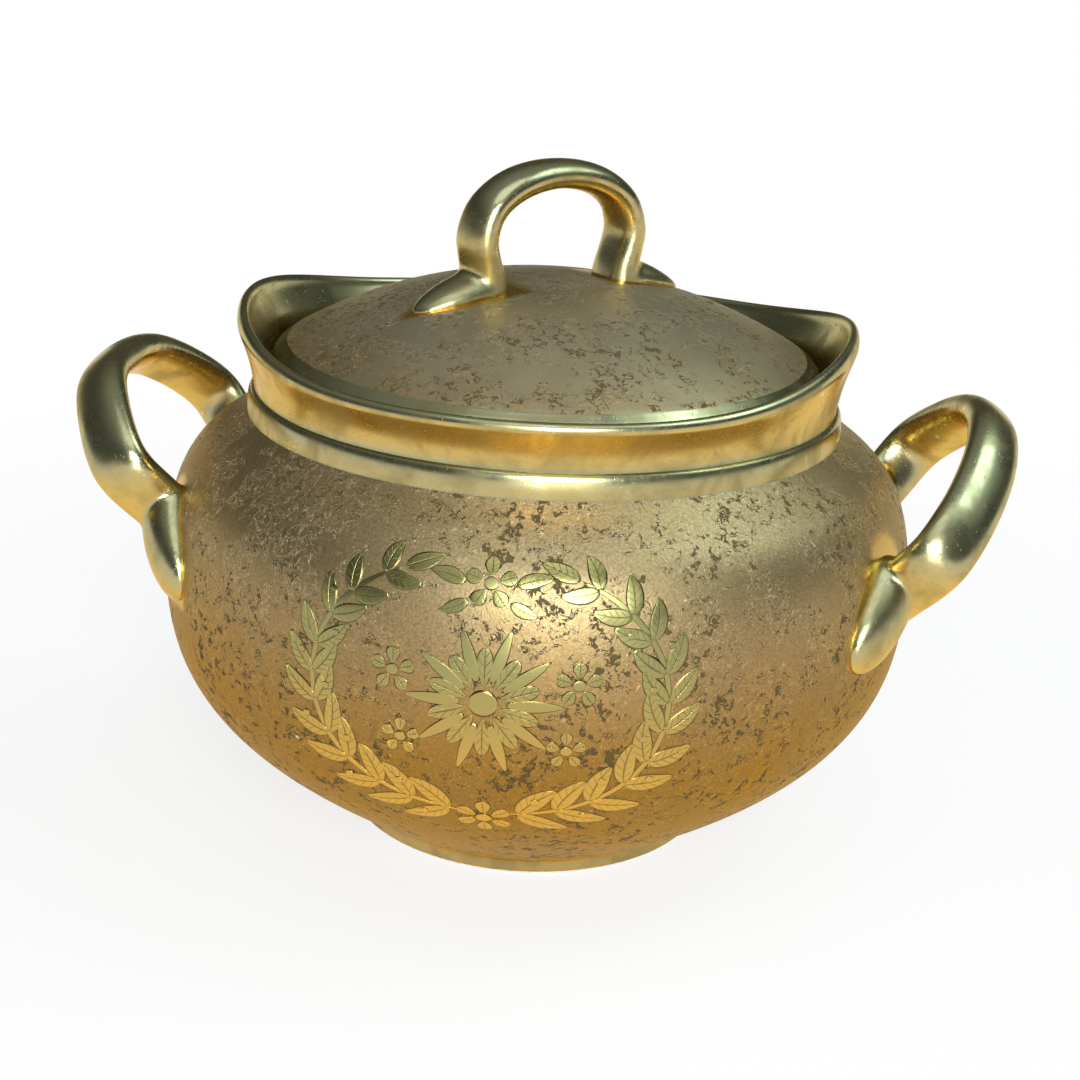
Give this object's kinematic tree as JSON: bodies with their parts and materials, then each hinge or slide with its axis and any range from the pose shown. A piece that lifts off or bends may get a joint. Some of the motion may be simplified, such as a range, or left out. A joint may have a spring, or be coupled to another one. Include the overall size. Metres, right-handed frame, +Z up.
{
  "type": "sugar bowl",
  "caption": "Round covered sugar bowl on a foot ring, with a winged rim, leaning loop handles and a domed lift-off lid with a loop handle.",
  "frame": {"origin": "centre of the foot ring's underside, on the bowl's axis", "axes": "+Z up along the bowl's axis, +X towards the right handle, the front faces -Y"},
  "size_m": [0.1576, 0.1274, 0.114],
  "materials": {
    "etched_gold": "matte etched gold fired on porcelain",
    "burnished_gold": "burnished satin gold fired on porcelain"
  },
  "bodies": {
    "bowl_body": {"bowl": "etched_gold", "handle_left": "burnished_gold", "handle_right": "burnished_gold"},
    "lid_body": {"lid": "etched_gold", "lid_handle": "burnished_gold"}
  },
  "joints": [
    {"name": "lid_lift", "type": "slide", "parent": "bowl_body", "child": "lid_body", "axis": [0, 0, 1], "range_m": [0, 0.06]}
  ]
}
